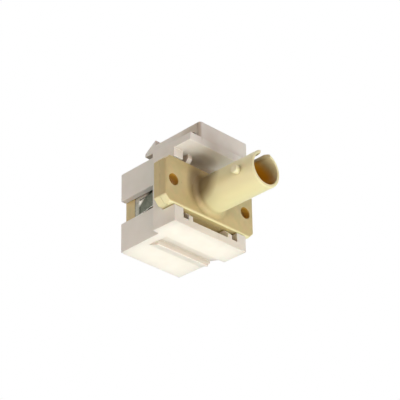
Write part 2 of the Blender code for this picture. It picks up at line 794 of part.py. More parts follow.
def spring_tab(name, side):
    """A tab seen from above: flat at its root, bent there, then straight out to the seat plane."""
    outer = BODY_WIDTH / 2 - TAB_SKIN
    inner = BODY_WIDTH / 2 - CLIP_THICKNESS + TAB_SKIN
    rear = CLIP_FRONT_Y + CLIP_LENGTH - TAB_ROOT / 2
    root = CLIP_FRONT_Y + CLIP_LENGTH - TAB_ROOT
    middle = (outer + TAB_BEND, root)
    turn = 180 + math.degrees(TAB_ANGLE)
    inner_bend = arc(middle, middle[0] - inner, 180, turn, BEND_STEPS)
    outer_bend = arc(middle, TAB_BEND, turn, 180, BEND_STEPS)
    plan = [(inner, rear)] + inner_bend
    plan += [tab_tip(inner_bend[-1]), tab_tip(outer_bend[0])]
    plan += outer_bend + [(outer, rear)]
    plan = [(side * across, along) for across, along in plan]
    return outline_solid(name, plan, TAB_HEIGHT, (0, 0, SIDE_Z), ALONG_Z)


def tab_tip(start):
    """Where a face of the tab, straight from the end of its bend, meets the clip's front plane."""
    return (start[0] + (start[1] - CLIP_FRONT_Y) * math.tan(TAB_ANGLE), CLIP_FRONT_Y)


def make_retaining_clip(material):
    clip = clip_band()
    cut(clip, tab_window("window_left", -1), tab_window("window_right", 1))
    join(clip, spring_tab("tab_left", -1), spring_tab("tab_right", 1))
    return finish(clip, "retaining_clip", material)


clear_scene()
parts = new_collection("fibre_adapter")
cutters = new_collection("cutters")
assembly = bpy.data.objects.new("fibre_adapter_frame", None)
parts.objects.link(assembly)

white = plastic("white_plastic", (0.86, 0.83, 0.77), 0.45)
beige = plastic("beige_plastic", (0.72, 0.58, 0.30), 0.42)
inner_beige = plastic("insert_plastic", (0.66, 0.52, 0.27), 0.45)
steel = surface("spring_steel", (0.42, 0.43, 0.38), 0.32, 1.0)
bronze = surface("sleeve_bronze", (0.62, 0.40, 0.22), 0.28, 1.0)

make_bezel_housing(white)
make_front_half(beige)
make_rear_half(beige)
make_latch_insert(inner_beige)
make_alignment_sleeve(bronze)
make_retaining_clip(steel)
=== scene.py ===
import math

import bpy
from mathutils import Matrix, Vector


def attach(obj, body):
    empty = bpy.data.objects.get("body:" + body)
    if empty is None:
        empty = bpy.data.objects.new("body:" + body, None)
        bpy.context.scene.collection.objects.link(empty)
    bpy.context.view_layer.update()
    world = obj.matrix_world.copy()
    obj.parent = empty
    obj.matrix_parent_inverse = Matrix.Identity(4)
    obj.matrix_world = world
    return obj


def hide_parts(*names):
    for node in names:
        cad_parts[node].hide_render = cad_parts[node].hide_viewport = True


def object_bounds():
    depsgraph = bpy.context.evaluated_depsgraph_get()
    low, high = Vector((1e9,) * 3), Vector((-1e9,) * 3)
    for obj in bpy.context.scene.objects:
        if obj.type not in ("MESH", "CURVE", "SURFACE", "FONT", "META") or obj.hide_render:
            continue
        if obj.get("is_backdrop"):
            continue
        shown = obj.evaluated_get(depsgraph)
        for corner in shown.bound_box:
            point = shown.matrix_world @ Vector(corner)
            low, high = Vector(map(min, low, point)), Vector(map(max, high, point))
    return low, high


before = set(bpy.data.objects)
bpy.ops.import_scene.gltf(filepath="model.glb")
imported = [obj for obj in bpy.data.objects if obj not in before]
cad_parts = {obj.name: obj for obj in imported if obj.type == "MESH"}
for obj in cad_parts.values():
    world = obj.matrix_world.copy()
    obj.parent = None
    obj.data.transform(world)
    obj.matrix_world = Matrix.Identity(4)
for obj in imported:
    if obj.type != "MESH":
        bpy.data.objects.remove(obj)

cad_low, cad_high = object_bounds()
scene = bpy.context.scene

# Camera
# The photograph looks up at the front left corner from below, through a long lens about a third
# of a metre away, and it is tipped by one degree.
CAMERA_PLACE = Vector((-0.21014, -0.20572, -0.15443))
CAMERA_AZIMUTH = math.radians(-45.381)
CAMERA_ELEVATION = math.radians(-28.962)
CAMERA_ROLL = math.radians(-0.961)
CAMERA_LENS = 171.0
CAMERA_SENSOR = 36.0

backward = Vector((
    math.sin(CAMERA_AZIMUTH) * math.cos(CAMERA_ELEVATION),
    -math.cos(CAMERA_AZIMUTH) * math.cos(CAMERA_ELEVATION),
    math.sin(CAMERA_ELEVATION),
))
level_right = Vector((0, 0, 1)).cross(backward).normalized()
level_up = backward.cross(level_right)
tipped_right = level_right * math.cos(CAMERA_ROLL) + level_up * math.sin(CAMERA_ROLL)
tipped_up = level_up * math.cos(CAMERA_ROLL) - level_right * math.sin(CAMERA_ROLL)

lens = bpy.data.cameras.new("photo_lens")
lens.lens = CAMERA_LENS
lens.sensor_width = CAMERA_SENSOR
lens.clip_start = 0.01
lens.clip_end = 10.0
camera = bpy.data.objects.new("photo_camera", lens)
camera.matrix_world = Matrix.Translation(CAMERA_PLACE) @ Matrix(
    (tipped_right, tipped_up, backward)
).transposed().to_4x4()
scene.collection.objects.link(camera)
scene.camera = camera

# Room
# A pale table top and a white room. The table is seen from above only, so that a camera below it
# looks straight up at the object, and the lamps under it shine through.
TABLE_COLOUR = (0.86, 0.86, 0.85, 1)
TABLE_RADIUS = 0.6
LAMP_DISTANCE = 0.60
ROOM_FILL = 0.0


def add_node(tree, kind, **settings):
    node = tree.nodes.new(kind)
    for name, value in settings.items():
        setattr(node, name, value)
    return node


def new_material(name):
    material = bpy.data.materials.new(name)
    material.use_nodes = True
    return material, material.node_tree


world = bpy.data.worlds.new("white_room")
world.use_nodes = True
scene.world = world
tree = world.node_tree
tree.nodes.clear()
path = add_node(tree, "ShaderNodeLightPath")
seen = add_node(tree, "ShaderNodeMath", operation="MAXIMUM")
mirrored = add_node(tree, "ShaderNodeMath", operation="MAXIMUM")
tree.links.new(path.outputs["Is Camera Ray"], seen.inputs[0])
tree.links.new(path.outputs["Is Glossy Ray"], seen.inputs[1])
tree.links.new(seen.outputs[0], mirrored.inputs[0])
tree.links.new(path.outputs["Is Transmission Ray"], mirrored.inputs[1])
fill = add_node(tree, "ShaderNodeBackground")
fill.inputs["Color"].default_value = (1, 1, 1, 1)
fill.inputs["Strength"].default_value = ROOM_FILL
backdrop = add_node(tree, "ShaderNodeBackground")
backdrop.inputs["Color"].default_value = (1, 1, 1, 1)
backdrop.inputs["Strength"].default_value = 1.0
either = add_node(tree, "ShaderNodeMixShader")
tree.links.new(mirrored.outputs[0], either.inputs["Fac"])
tree.links.new(fill.outputs[0], either.inputs[1])
tree.links.new(backdrop.outputs[0], either.inputs[2])
output = add_node(tree, "ShaderNodeOutputWorld")
tree.links.new(either.outputs[0], output.inputs["Surface"])

bpy.ops.object.select_all(action="DESELECT")
bpy.ops.mesh.primitive_circle_add(vertices=96, radius=TABLE_RADIUS, fill_type="NGON")
table = bpy.context.object
table.name = "table_top"
material, tree = new_material("pale_table")
shader = tree.nodes["Principled BSDF"]
shader.inputs["Base Color"].default_value = TABLE_COLOUR
shader.inputs["Roughness"].default_value = 0.8
path = add_node(tree, "ShaderNodeLightPath")
side = add_node(tree, "ShaderNodeNewGeometry")
through = add_node(tree, "ShaderNodeMath", operation="MAXIMUM")
tree.links.new(path.outputs["Is Shadow Ray"], through.inputs[0])
tree.links.new(side.outputs["Backfacing"], through.inputs[1])
clear = add_node(tree, "ShaderNodeBsdfTransparent")
either = add_node(tree, "ShaderNodeMixShader")
tree.links.new(through.outputs[0], either.inputs["Fac"])
tree.links.new(shader.outputs[0], either.inputs[1])
tree.links.new(clear.outputs[0], either.inputs[2])
tree.links.new(either.outputs[0], tree.nodes["Material Output"].inputs["Surface"])
table.data.materials.append(material)
table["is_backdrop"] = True


def soft_lamp(name, towards, width, power, colour):
    """A square soft box that shines at the object from a direction."""
    light = bpy.data.lights.new(name, "AREA")
    light.shape = "SQUARE"
    light.size = width
    light.energy = power
    light.color = colour
    lamp = bpy.data.objects.new(name, light)
    direction = Vector(towards).normalized()
    centre = (cad_low + cad_high) / 2
    lamp.location = centre + direction * LAMP_DISTANCE
    lamp.rotation_mode = "QUATERNION"
    lamp.rotation_quaternion = direction.to_track_quat("Z", "Y")
    scene.collection.objects.link(lamp)


# Most of the light comes from below and in front, and it is a little warmer from the front and left.
soft_lamp("lamp_below_left", (-0.55, 0.35, -0.77), 0.24, 0.22, (0.96, 0.99, 1.0))
soft_lamp("lamp_below_right", (0.52, -0.42, -0.85), 0.22, 0.68, (0.96, 1.0, 0.97))
soft_lamp("lamp_below_front", (0.12, -0.40, -0.91), 0.24, 0.44, (0.98, 1.0, 0.97))
soft_lamp("lamp_low_front", (0.10, -0.76, -0.62), 0.24, 1.02, (0.98, 1.0, 0.98))
soft_lamp("lamp_front", (-0.45, -0.86, -0.22), 0.24, 0.88, (1.0, 0.70, 0.62))
soft_lamp("lamp_left", (-0.837, 0.483, -0.259), 0.24, 0.76, (1.0, 0.80, 0.58))
soft_lamp("lamp_left_back", (-0.483, 0.837, 0.259), 0.24, 0.56, (0.95, 1.0, 0.93))
soft_lamp("lamp_right", (0.612, -0.354, 0.707), 0.24, 0.24, (1.0, 0.94, 0.62))
soft_lamp("lamp_above", (0.0, 0.0, 1.0), 0.24, 1.30, (0.92, 0.93, 1.0))

# Bezel
# One white moulding: the block with its pockets and ribs, the roof, the bent latch arm and the hook
# underneath. The tool left a fine satin grain on it and a small radius on every edge.
BEZEL_EDGE = 0.00008
BEZEL_GRAIN = 0.00016
WHITE = (0.885, 0.868, 0.825, 1)
WHITE_MOTTLED = (0.858, 0.838, 0.79, 1)
WHITE_WEAR_AND_HIGHLIGHT = (0.91, 0.90, 0.87, 1)
WHITE_LOW_WALL_LINE = (0.70, 0.67, 0.61, 1)
WHITE_CORNER_SHADE = (0.62, 0.56, 0.47, 1)
ARM_SIDE = 0.0060
ARM_FRONT = -0.00468
ARM_CORNER = 0.00062
ROOF_TOP = 0.01655
ARM_MIDDLE_Z = 0.019
ARM_CLEAR_Z = 0.022
CUTTER_ROOM = 0.002
BEZEL_WEAR_AND_HIGHLIGHT_RADIUS = 0.00012
# A faint darker vertical line on the low wall's front.
LOW_WALL_LINE_PLACE = (0.0020, -0.0009, 0.0014)
LOW_WALL_LINE_REACH = (0.00012, 0.0003, 0.0006)
# Two soft shades are painted on, where the photograph is darker than these lamps make the part.
ARM_SHADE_PLACE = (-0.0060, -0.0036, 0.0183)
ARM_SHADE_REACH = (0.0004, 0.0048, 0.0028)
ROOF_SHADE_PLACE = (-0.0022, -0.0009, 0.01515)
ROOF_SHADE_REACH = (0.0040, 0.0024, 0.0008)
ROOF_SHADE = (0.34, 0.29, 0.22, 1)


def dressed_copy(node, name):
    """A merged copy of a CAD node's mesh, with its flat faces made whole again."""
    bpy.ops.object.select_all(action="DESELECT")
    piece = bpy.data.objects.new(name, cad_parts[node].data.copy())
    piece.data.name = name
    piece.data.materials.clear()
    scene.collection.objects.link(piece)
    bpy.context.view_layer.objects.active = piece
    piece.select_set(True)
    bpy.ops.object.mode_set(mode="EDIT")
    bpy.ops.mesh.select_all(action="SELECT")
    bpy.ops.mesh.remove_doubles(threshold=0.000003)
    bpy.ops.mesh.dissolve_limited(angle_limit=math.radians(0.6))
    bpy.ops.object.mode_set(mode="OBJECT")
    return piece


def round_edges(piece, width, segments=2, angle=30):
    bevel = piece.modifiers.new("moulded_edges", "BEVEL")
    bevel.width = width
    bevel.segments = segments
    bevel.limit_method = "ANGLE"
    bevel.angle_limit = math.radians(angle)
    bevel.use_clamp_overlap = False
    bpy.context.view_layer.objects.active = piece
    bpy.ops.object.modifier_apply(modifier=bevel.name)
    bpy.ops.object.shade_smooth_by_angle(angle=math.radians(angle))


def grain(tree, size, detail=2.0, stretch=(1.0, 1.0, 1.0)):
    """A field of noise on the piece's own coordinates, its grains about this many metres across."""
    where = add_node(tree, "ShaderNodeTexCoord")
    scaled = add_node(tree, "ShaderNodeMapping")
    scaled.inputs["Scale"].default_value = [1 / (size * k) for k in stretch]
    noise = add_node(tree, "ShaderNodeTexNoise")
    noise.inputs["Scale"].default_value = 1.0
    noise.inputs["Detail"].default_value = detail
    tree.links.new(where.outputs["Object"], scaled.inputs["Vector"])
    tree.links.new(scaled.outputs["Vector"], noise.inputs["Vector"])
    return noise.outputs["Fac"]


def spread(tree, field, start, end, low=0.0, high=1.0):
    """Maps what lies between two values of a field onto a range."""
    node = add_node(tree, "ShaderNodeMapRange")
    tree.links.new(field, node.inputs["Value"])
    node.inputs["From Min"].default_value = start
    node.inputs["From Max"].default_value = end
    node.inputs["To Min"].default_value = low
    node.inputs["To Max"].default_value = high
    return node.outputs["Result"]


def times(tree, first, second):
    node = add_node(tree, "ShaderNodeMath", operation="MULTIPLY")
    for socket, value in zip(node.inputs, (first, second)):
        if isinstance(value, float):
            socket.default_value = value
        else:
            tree.links.new(value, socket)
    return node.outputs[0]


def blend_colours(tree, share, first, second):
    """The first colour where the share is nought and the second where it is one."""
    node = add_node(tree, "ShaderNodeMix", data_type="RGBA")
    tree.links.new(share, node.inputs[0])
    for socket, colour in ((node.inputs[6], first), (node.inputs[7], second)):
        if isinstance(colour, tuple):
            socket.default_value = colour
        else:
            tree.links.new(colour, socket)
    return node.outputs[2]


def mark(tree, place, half_sizes, turn=(0.0, 0.0, 0.0)):
    """One inside an ellipsoid at a place on the piece, fading to nought at its outside."""
    where = add_node(tree, "ShaderNodeTexCoord")
    into = add_node(tree, "ShaderNodeMapping", vector_type="TEXTURE")
    into.inputs["Location"].default_value = place
    into.inputs["Rotation"].default_value = turn
    into.inputs["Scale"].default_value = half_sizes
    reach = add_node(tree, "ShaderNodeVectorMath", operation="LENGTH")
    tree.links.new(where.outputs["Object"], into.inputs["Vector"])
    tree.links.new(into.outputs["Vector"], reach.inputs[0])
    return spread(tree, reach.outputs["Value"], 0.5, 1.0, 1.0, 0.0)


def soft_edges(tree, radius):
    """The normal turned round the edges, and a field that is nought on flat faces and one on edges."""
    rounded = add_node(tree, "ShaderNodeBevel", samples=6)
    rounded.inputs["Radius"].default_value = radius
    true = add_node(tree, "ShaderNodeNewGeometry")
    alike = add_node(tree, "ShaderNodeVectorMath", operation="DOT_PRODUCT")
    tree.links.new(rounded.outputs["Normal"], alike.inputs[0])
    tree.links.new(true.outputs["Normal"], alike.inputs[1])
    return rounded.outputs["Normal"], spread(tree, alike.outputs["Value"], 0.995, 0.85)


def raise_grain(tree, field, height, strength, normal=None):
    bump = add_node(tree, "ShaderNodeBump")
    bump.inputs["Distance"].default_value = height
    bump.inputs["Strength"].default_value = strength
    tree.links.new(field, bump.inputs["Height"])
    if normal is not None:
        tree.links.new(normal, bump.inputs["Normal"])
    tree.links.new(bump.outputs["Normal"], tree.nodes["Principled BSDF"].inputs["Normal"])


def shade_corners(tree, colour, shade, reach, closed=0.25):
    """Darkens a colour in corners and pockets: a painted shade where little light comes back out."""
    open_share = add_node(tree, "ShaderNodeAmbientOcclusion", samples=8, only_local=True)
    open_share.inputs["Distance"].default_value = reach
    hidden = spread(tree, open_share.outputs["AO"], 0.80, closed)
    toned = add_node(tree, "ShaderNodeMix", data_type="RGBA", blend_type="MULTIPLY")
    tree.links.new(hidden, toned.inputs[0])
    tree.links.new(colour, toned.inputs[6])
    toned.inputs[7].default_value = shade
    return toned.outputs[2]


def choose(piece, kind, wanted):
    """Selects the edges, by their two ends, or the faces, by centre and normal, that pass a test."""
    bpy.ops.object.mode_set(mode="EDIT")
    bpy.ops.mesh.select_mode(type=kind)
    bpy.ops.mesh.select_all(action="DESELECT")
    bpy.ops.object.mode_set(mode="OBJECT")
    corners = piece.data.vertices
    if kind == "EDGE":
        for edge in piece.data.edges:
            edge.select = wanted(*(corners[i].co for i in edge.vertices))
    else:
        for face in piece.data.polygons:
            face.select = wanted(face.center, face.normal)
    bpy.ops.object.mode_set(mode="EDIT")


def near(value, wanted):
    return abs(value - wanted) < 0.00001


def start_block(name, low, high):
    """A cube drawn out between two corners."""
    bpy.ops.object.select_all(action="DESELECT")
    bpy.ops.mesh.primitive_cube_add(size=1.0)
    block = bpy.context.object
    block.name = name
    bpy.ops.object.mode_set(mode="EDIT")
    bpy.ops.transform.resize(value=[b - a for a, b in zip(low, high)])
    bpy.ops.transform.translate(value=[(a + b) / 2 for a, b in zip(low, high)])
    bpy.ops.object.mode_set(mode="OBJECT")
    return block


def start_cylinder(name, radius, length, centre, turn, steps=64):
    bpy.ops.object.select_all(action="DESELECT")
    bpy.ops.mesh.primitive_cylinder_add(vertices=steps, radius=radius, depth=length, rotation=turn)
    cylinder = bpy.context.object
    cylinder.name = name
    bpy.ops.object.transform_apply(rotation=True)
    bpy.ops.object.mode_set(mode="EDIT")
    bpy.ops.transform.translate(value=centre)
    bpy.ops.object.mode_set(mode="OBJECT")
    return cylinder


def work_in(target, other, operation):
    """Joins a helper solid to a piece or cuts it out, and removes the helper."""
    change = target.modifiers.new(other.name, "BOOLEAN")
    change.operation = operation
    change.solver = "EXACT"
    change.object = other
    bpy.context.view_layer.objects.active = target
    bpy.ops.object.modifier_apply(modifier=change.name)
    bpy.data.objects.remove(other, do_unlink=True)


bezel = dressed_copy("bezel_housing", "bezel")
for side in (-1, 1):
    middle = Vector((side * (ARM_SIDE - ARM_CORNER), ARM_FRONT + ARM_CORNER, ARM_MIDDLE_Z))
    outer = middle + Vector((side * CUTTER_ROOM, -CUTTER_ROOM, 0))
    low = Vector((min(middle.x, outer.x), outer.y, ROOF_TOP + 0.00001))
    high = Vector((max(middle.x, outer.x), middle.y, ARM_CLEAR_Z))
    corner = start_block("arm_corner", low, high)
    work_in(corner, start_cylinder("arm_bend", ARM_CORNER, 0.01, middle, (0, 0, 0)), "DIFFERENCE")
    work_in(bezel, corner, "DIFFERENCE")
round_edges(bezel, BEZEL_EDGE)

material, tree = new_material("white_moulded_plastic")
shader = tree.nodes["Principled BSDF"]
mottle = spread(tree, grain(tree, 0.0022, 3.0), 0.35, 0.65)
colour = blend_colours(tree, mottle, WHITE, WHITE_MOTTLED)
turned, edges = soft_edges(tree, BEZEL_WEAR_AND_HIGHLIGHT_RADIUS)
# Edges are lighter: wear, and a painted highlight where the rounded edges catch the light.
edge_wear_and_highlight = times(tree, edges, spread(tree, grain(tree, 0.0009), 0.35, 0.6))
colour = blend_colours(tree, edge_wear_and_highlight, colour, WHITE_WEAR_AND_HIGHLIGHT)
for place, reach, share, tone in (
    (LOW_WALL_LINE_PLACE, LOW_WALL_LINE_REACH, 0.55, WHITE_LOW_WALL_LINE),
    (ARM_SHADE_PLACE, ARM_SHADE_REACH, 0.95, WHITE_CORNER_SHADE),
    (ROOF_SHADE_PLACE, ROOF_SHADE_REACH, 0.5, ROOF_SHADE),
):
    colour = blend_colours(tree, times(tree, mark(tree, place, reach), share), colour, tone)
# Painted shade in the bezel's corners and pockets.
colour = shade_corners(tree, colour, WHITE_CORNER_SHADE, 0.005)
tree.links.new(colour, shader.inputs["Base Color"])
satin = spread(tree, grain(tree, 0.0005, 4.0), 0.3, 0.7, 0.40, 0.52)
tree.links.new(satin, shader.inputs["Roughness"])
raise_grain(tree, grain(tree, BEZEL_GRAIN, 2.0), 0.000008, 0.5, turned)
shader.inputs["IOR"].default_value = 1.46
shader.inputs["Subsurface Weight"].default_value = 0.10
shader.inputs["Subsurface Scale"].default_value = 0.0004
bezel.data.materials.append(material)
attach(bezel, "root")
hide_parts("bezel_housing")

# Bayonet half
# The front half of the adapter, one beige moulding: the flange's front plate with two screw holes, the
# barrel that rises from it with a fillet, its two lugs and its key slot, and the tube for the sleeve.
FLANGE_WIDTH = 0.0219
FLANGE_HEIGHT = 0.0093
FLANGE_CORNER = 0.00105
FLANGE_EDGE = 0.00028
FLANGE_FRONT = -0.0009
PLATE_BACK = 0.00052
FIBRE_Z = 0.0087
BARREL_RADIUS = 0.003525
BARREL_BORE_RADIUS = 0.002925
BARREL_TIP = -0.01445
BARREL_FILLET = 0.0009
FILLET_STEP = 0.00003
RIM_OUTER = 0.0003
RIM_INNER = 0.0001
BORE_FLOOR = -0.0011
TUBE_RADIUS = 0.0022
TUBE_TIP = -0.00585
SLEEVE_SEAT_RADIUS = 0.0017
SLEEVE_SEAT_END = -0.00525
FERRULE_RADIUS = 0.00135
SLOT_WIDTH = 0.00146
SLOT_END = -0.00968
MOUTH_WIDTH = 0.0024
MOUTH_DEPTH = 0.0010
LUG_RADIUS = 0.00074
LUG_TIP = 0.00448
LUG_Y = -0.01095
LUG_DROP = 0.00028
SCREW_X = 0.00895
SCREW_RADIUS = 0.0011
SCREW_EDGE = 0.00012
LUG_EDGE = 0.00015
CUT_THROUGH = 0.006
BEIGE = (0.66, 0.54, 0.272, 1)
BEIGE_GREENISH = (0.605, 0.52, 0.258, 1)
BEIGE_PINKISH = (0.64, 0.50, 0.262, 1)
BEIGE_WEAR_AND_HIGHLIGHT = (0.86, 0.80, 0.50, 1)
BEIGE_PAINTED_LIGHT = (0.95, 0.90, 0.55, 1)
BEIGE_PALE_LUG_TIP = (0.97, 0.92, 0.64, 1)
BEIGE_HOLE_SHADE = (0.60, 0.30, 0.012, 1)
BEIGE_DIRT = (0.30, 0.20, 0.08, 1)
BEIGE_CORNER_SHADE = (0.22, 0.15, 0.06, 1)
BEIGE_WEAR_AND_HIGHLIGHT_RADIUS = 0.0001
UNDERSIDE_START = 0.00035
UNDERSIDE_END = 0.00005
SEAM_SIDE_Y = 0.0004
BARE_END_X = 0.0085
PALE_TIP_Y = -0.0097
PALE_TIP_X = 0.0037
BORE_SHADE_RADIUS = 0.00296
SCREW_HOLE_SHADE_RADIUS = 0.00108
HOLE_SHADE_FADE = 0.00006
HOLE_SHADE_LEAN = 0.6
HOLE_SHADE_START = 0.0005
HOLE_SHADE_LENGTH = 0.0018
# The shade at the left of the barrel's foot is painted on too, for the same reason.
FOOT_SHADE_PLACE = (-0.0037, FLANGE_FRONT - 0.0006, FIBRE_Z + 0.0012)
FOOT_SHADE_REACH = (0.0023, 0.0050, 0.0046)
FOOT_SHADE = (0.27, 0.19, 0.08, 1)


def draw_rings(name, rings, steps=128):
    """A turned solid: a disc pulled out along the fibre's axis and drawn in or out, ring by ring."""
    bpy.ops.object.select_all(action="DESELECT")
    radius, along = rings[0]
    bpy.ops.mesh.primitive_circle_add(
        vertices=steps, radius=radius, fill_type="NGON", rotation=(math.pi / 2, 0, 0)
    )
    turned = bpy.context.object
    turned.name = name
    bpy.ops.object.transform_apply(rotation=True)
    bpy.ops.object.mode_set(mode="EDIT")
    bpy.ops.mesh.select_mode(type="FACE")
    bpy.ops.mesh.select_all(action="SELECT")
    bpy.ops.transform.translate(value=(0, along, FIBRE_Z))
    for next_radius, next_along in rings[1:]:
        bpy.ops.mesh.extrude_region_move(
            TRANSFORM_OT_translate={"value": (0, next_along - along, 0)}
        )
        grown = next_radius / radius
        bpy.ops.transform.resize(
            value=(grown, 1, grown), center_override=(0, next_along, FIBRE_Z)
        )
        radius, along = next_radius, next_along
    bpy.ops.mesh.select_all(action="SELECT")
    bpy.ops.mesh.normals_make_consistent(inside=False)
    bpy.ops.object.mode_set(mode="OBJECT")
    return turned


def bend_points(centre, radius, start, end, steps):
    """Points of a bend in the plane of radius and distance forward, its angles in degrees."""
    points = []
    for i in range(steps + 1):
        angle = math.radians(start + (end - start) * i / steps)
        across = centre[0] + radius * math.cos(angle)
        forward = centre[1] + radius * math.sin(angle)
        points.append((across, -forward))
    return points


across = FLANGE_WIDTH / 2
upward = FLANGE_HEIGHT / 2
bayonet_half = start_block(
    "bayonet_half",
    (-across, FLANGE_FRONT, FIBRE_Z - upward),
    (across, PLATE_BACK, FIBRE_Z + upward),
)
choose(bayonet_half, "EDGE", lambda a, b: abs(a.y - b.y) > 0.001)
bpy.ops.mesh.bevel(offset=FLANGE_CORNER, segments=1, affect="EDGES")
choose(bayonet_half, "EDGE", lambda a, b: near(a.y, FLANGE_FRONT) and near(b.y, FLANGE_FRONT))
bpy.ops.mesh.bevel(offset=FLANGE_EDGE, segments=4, affect="EDGES")
bpy.ops.object.mode_set(mode="OBJECT")

foot = BARREL_RADIUS + BARREL_FILLET
fillet_top = -FLANGE_FRONT + FILLET_STEP + BARREL_FILLET
rings = [(foot, -FILLET_STEP)]
rings += bend_points((foot, fillet_top), BARREL_FILLET, 270, 180, 10)
rings += bend_points((BARREL_RADIUS - RIM_OUTER, -BARREL_TIP - RIM_OUTER), RIM_OUTER, 0, 90, 5)
rings += bend_points(
    (BARREL_BORE_RADIUS + RIM_INNER, -BARREL_TIP - RIM_INNER), RIM_INNER, 90, 180, 3
)
rings += [
    (BARREL_BORE_RADIUS, BORE_FLOOR),
    (TUBE_RADIUS, BORE_FLOOR),
    (TUBE_RADIUS, TUBE_TIP),
    (FERRULE_RADIUS, TUBE_TIP),
]
work_in(bayonet_half, draw_rings("barrel", rings), "UNION")
for name, radius, front, back in (
    ("sleeve_seat", SLEEVE_SEAT_RADIUS, SLEEVE_SEAT_END, 0.001),
    ("ferrule_hole", FERRULE_RADIUS, TUBE_TIP - 0.001, 0.001),
):
    middle = (0, (front + back) / 2, FIBRE_Z)
    hole = start_cylinder(name, radius, back - front, middle, (math.pi / 2, 0, 0))
    work_in(bayonet_half, hole, "DIFFERENCE")

half = SLOT_WIDTH / 2
above = FIBRE_Z + 2 * BARREL_RADIUS
slot = start_block("slot", (-half, BARREL_TIP - 0.001, FIBRE_Z), (half, SLOT_END, above))
work_in(bayonet_half, slot, "DIFFERENCE")
middle = (0, SLOT_END, FIBRE_Z + BARREL_RADIUS)
slot = start_cylinder("slot_end", half, 2 * BARREL_RADIUS, middle, (0, 0, 0))
work_in(bayonet_half, slot, "DIFFERENCE")
mouth = start_block(
    "mouth", (-half, BARREL_TIP - MOUTH_DEPTH, FIBRE_Z), (half, BARREL_TIP + MOUTH_DEPTH, above)
)
choose(mouth, "FACE", lambda centre, normal: normal.y < -0.9)
flared = 2 * MOUTH_WIDTH / SLOT_WIDTH - 1
bpy.ops.transform.resize(value=(flared, 1, 1))
bpy.ops.object.mode_set(mode="OBJECT")
work_in(bayonet_half, mouth, "DIFFERENCE")

for side in (-1, 1):
    foot_x = (BARREL_RADIUS + BARREL_BORE_RADIUS) / 2
    middle = (side * (foot_x + LUG_TIP) / 2, LUG_Y, FIBRE_Z + side * LUG_DROP)
    lug = start_cylinder("lug", LUG_RADIUS, LUG_TIP - foot_x, middle, (0, math.pi / 2, 0), 48)
    tip_x = side * LUG_TIP
    choose(lug, "EDGE", lambda a, b: near(a.x, tip_x) and near(b.x, tip_x))
    bpy.ops.mesh.bevel(offset=LUG_EDGE, segments=3, affect="EDGES")
    bpy.ops.object.mode_set(mode="OBJECT")
    work_in(bayonet_half, lug, "UNION")
    middle = (side * SCREW_X, 0, FIBRE_Z)
    hole = start_cylinder("screw_hole", SCREW_RADIUS, CUT_THROUGH, middle, (math.pi / 2, 0, 0), 48)
    work_in(bayonet_half, hole, "DIFFERENCE")
    centre = Vector((side * SCREW_X, FLANGE_FRONT, FIBRE_Z))
    choose(
        bayonet_half,
        "EDGE",
        lambda a, b: near((a - centre).length, SCREW_RADIUS) and near((b - centre).length, SCREW_RADIUS),
    )
    bpy.ops.mesh.bevel(offset=SCREW_EDGE, segments=3, affect="EDGES")
    bpy.ops.object.mode_set(mode="OBJECT")
bpy.ops.object.select_all(action="DESELECT")
bayonet_half.select_set(True)
bpy.context.view_layer.objects.active = bayonet_half
bpy.ops.object.shade_smooth_by_angle(angle=math.radians(30))


def near_axis(tree, x, radius, fade):
    """One within a radius of a line along Y at the fibre's height, and nought outside it."""
    where = add_node(tree, "ShaderNodeTexCoord")
    offset = add_node(tree, "ShaderNodeVectorMath", operation="SUBTRACT")
    offset.inputs[1].default_value = (x, 0, FIBRE_Z)
    flat = add_node(tree, "ShaderNodeVectorMath", operation="MULTIPLY")
    flat.inputs[1].default_value = (1, 0, 1)
    reach = add_node(tree, "ShaderNodeVectorMath", operation="LENGTH")
    tree.links.new(where.outputs["Object"], offset.inputs[0])
    tree.links.new(offset.outputs["Vector"], flat.inputs[0])
    tree.links.new(flat.outputs["Vector"], reach.inputs[0])
    return spread(tree, reach.outputs["Value"], radius, radius + fade, 1.0, 0.0)


